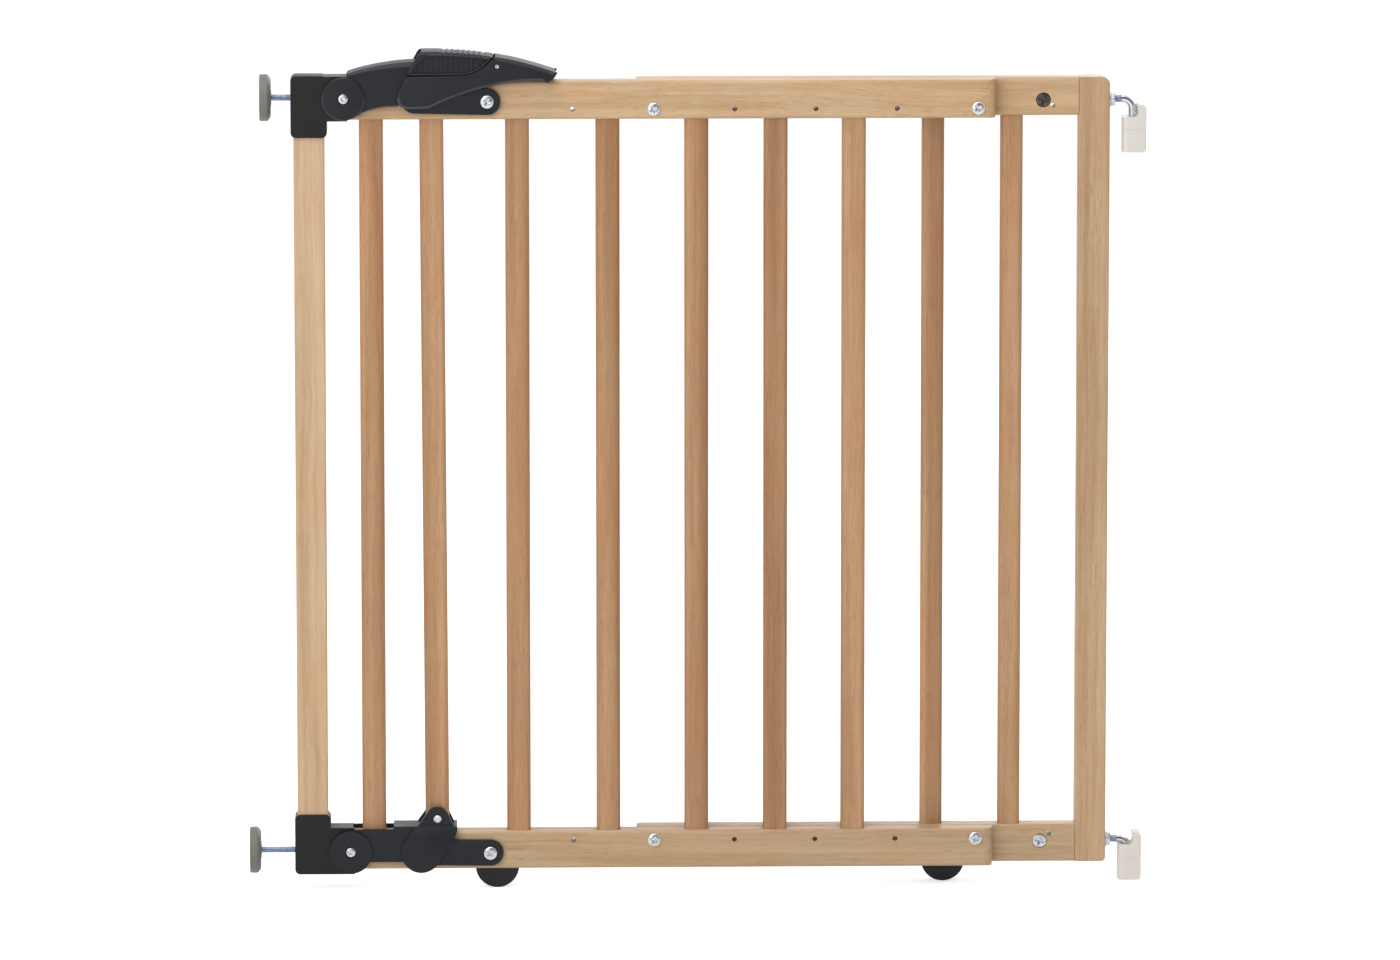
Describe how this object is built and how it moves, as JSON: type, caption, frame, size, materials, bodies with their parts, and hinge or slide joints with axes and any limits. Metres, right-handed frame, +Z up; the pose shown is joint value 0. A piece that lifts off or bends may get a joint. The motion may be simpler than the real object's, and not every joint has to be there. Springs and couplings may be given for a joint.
{
  "type": "safety baby gate",
  "caption": "Wooden barred safety gate of two sliding panels, hung on wall hooks and clamped by a lever toggle with rubber wall pads.",
  "frame": {"origin": "middle of the lower wall bracket's back face, on the hinge-side wall and on the rear panel's middle plane", "axes": "+X along the gate towards the hinge wall, +Y away from the user's side, +Z up"},
  "size_m": [0.864, 0.0555, 0.8128],
  "materials": {
    "rail_wood": "clear satin lacquer on light beech",
    "bar_wood": "clear satin lacquer on pinkish beech",
    "bracket_plastic": "fine matt moulded, warm white",
    "corner_plastic": "fine spark texture, warm charcoal",
    "lever_plastic": "fine spark texture, bluish black",
    "pad_rubber": "matt grey rubber",
    "zinc_steel": "bright zinc plate",
    "blue_zinc": "blue passivated zinc plate",
    "dark_steel": "dark burnished steel"
  },
  "bodies": {
    "wall_brackets": {"upper_wall_bracket": "bracket_plastic", "lower_wall_bracket": "bracket_plastic", "upper_bracket_cover": "bracket_plastic", "lower_bracket_cover": "bracket_plastic"},
    "rear_panel": {"hinge_stile": "rail_wood", "rear_top_rail": "rail_wood", "rear_bottom_rail": "rail_wood", "rear_bar_1": "bar_wood", "rear_bar_2": "bar_wood", "rear_bar_3": "bar_wood", "rear_bar_4": "bar_wood", "rear_bar_5": "bar_wood", "upper_hook_bolt": "zinc_steel", "lower_hook_bolt": "zinc_steel", "flange_nuts": "zinc_steel", "barrel_nuts": "dark_steel", "rear_glide": "lever_plastic", "rear_glide_screw": "zinc_steel"},
    "front_panel": {"front_top_rail": "rail_wood", "front_bottom_rail": "rail_wood", "front_bar_1": "bar_wood", "front_bar_2": "bar_wood", "front_bar_3": "bar_wood", "front_bar_4": "bar_wood", "front_bar_5": "bar_wood", "front_bar_6": "bar_wood", "front_glide": "lever_plastic", "front_glide_screw": "zinc_steel", "width_screws": "zinc_steel", "upper_link_bolt": "zinc_steel", "lower_link_bolt": "zinc_steel", "latch_catch": "zinc_steel"},
    "clamp_post_unit": {"clamp_post": "rail_wood", "upper_corner": "corner_plastic", "lower_corner": "corner_plastic", "spindle_nuts": "zinc_steel", "upper_pivot_bolt": "zinc_steel", "lower_pivot_bolt": "zinc_steel"},
    "upper_wall_pad": {"upper_spindle": "blue_zinc", "upper_pad": "pad_rubber"},
    "lower_wall_pad": {"lower_spindle": "blue_zinc", "lower_pad": "pad_rubber"},
    "lever": {"lever_front_shell": "lever_plastic", "lever_rear_shell": "lever_plastic", "upper_knee_pins": "zinc_steel", "upper_rod_pin": "zinc_steel", "grip_pin": "zinc_steel", "grip_spring": "zinc_steel"},
    "grip": {"release_grip": "lever_plastic"},
    "rod": {"drive_rod": "bar_wood"},
    "arm": {"lower_arm": "lever_plastic", "lower_knee_pins": "zinc_steel", "lower_rod_pin": "zinc_steel"},
    "upper_link_pair": {"upper_links": "lever_plastic"},
    "lower_link_pair": {"lower_links": "lever_plastic"}
  },
  "joints": [
    {"name": "gate_swing", "type": "hinge", "parent": "wall_brackets", "child": "rear_panel", "pos_m": [-0.0125, 0, 0.0155], "axis": [0, 0, 1], "range_deg": [-90, 90]},
    {"name": "width_slide", "type": "slide", "parent": "rear_panel", "child": "front_panel", "axis": [-1, 0, 0], "range_m": [-0.0777, 0.2331]},
    {"name": "post_draw", "type": "slide", "parent": "front_panel", "child": "clamp_post_unit", "axis": [1, 0, 0], "range_m": [0, 0.00821]},
    {"name": "lever_lift", "type": "hinge", "parent": "clamp_post_unit", "child": "lever", "pos_m": [-0.77, -0.022, 0.7436], "axis": [0, -1, 0], "range_deg": [0, 20]},
    {"name": "arm_lift", "type": "hinge", "parent": "clamp_post_unit", "child": "arm", "pos_m": [-0.7665, -0.022, 0.0128], "axis": [0, -1, 0], "range_deg": [0, 20]},
    {"name": "rod_swing", "type": "hinge", "parent": "lever", "child": "rod", "pos_m": [-0.6863, -0.022, 0.7756], "axis": [0, -1, 0], "range_deg": [-20, 0]},
    {"name": "upper_link_turn", "type": "hinge", "parent": "front_panel", "child": "upper_link_pair", "pos_m": [-0.6327, -0.022, 0.7405], "axis": [0, -1, 0], "range_deg": [-21, 0]},
    {"name": "lower_link_turn", "type": "hinge", "parent": "front_panel", "child": "lower_link_pair", "pos_m": [-0.6318, -0.022, 0.0112], "axis": [0, -1, 0], "range_deg": [-21, 0]},
    {"name": "grip_squeeze", "type": "hinge", "parent": "lever", "child": "grip", "pos_m": [-0.6229, -0.022, 0.7743], "axis": [0, 1, 0], "range_deg": [0, 6], "stiffness_Nm_per_rad": 0.6, "springref_deg": -6.88},
    {"name": "upper_pad_screw", "type": "slide", "parent": "clamp_post_unit", "child": "upper_wall_pad", "axis": [1, 0, 0], "range_m": [-0.014, 0.012]},
    {"name": "lower_pad_screw", "type": "slide", "parent": "clamp_post_unit", "child": "lower_wall_pad", "axis": [1, 0, 0], "range_m": [-0.004, 0.026]}
  ],
  "couplings": [
    {"joint": "post_draw", "follows": "lever_lift", "m_per_rad": 0.023491},
    {"joint": "arm_lift", "follows": "lever_lift", "ratio": 1},
    {"joint": "rod_swing", "follows": "lever_lift", "ratio": -1},
    {"joint": "upper_link_turn", "follows": "lever_lift", "ratio": -0.98075},
    {"joint": "lower_link_turn", "follows": "lever_lift", "ratio": -1.0193}
  ]
}
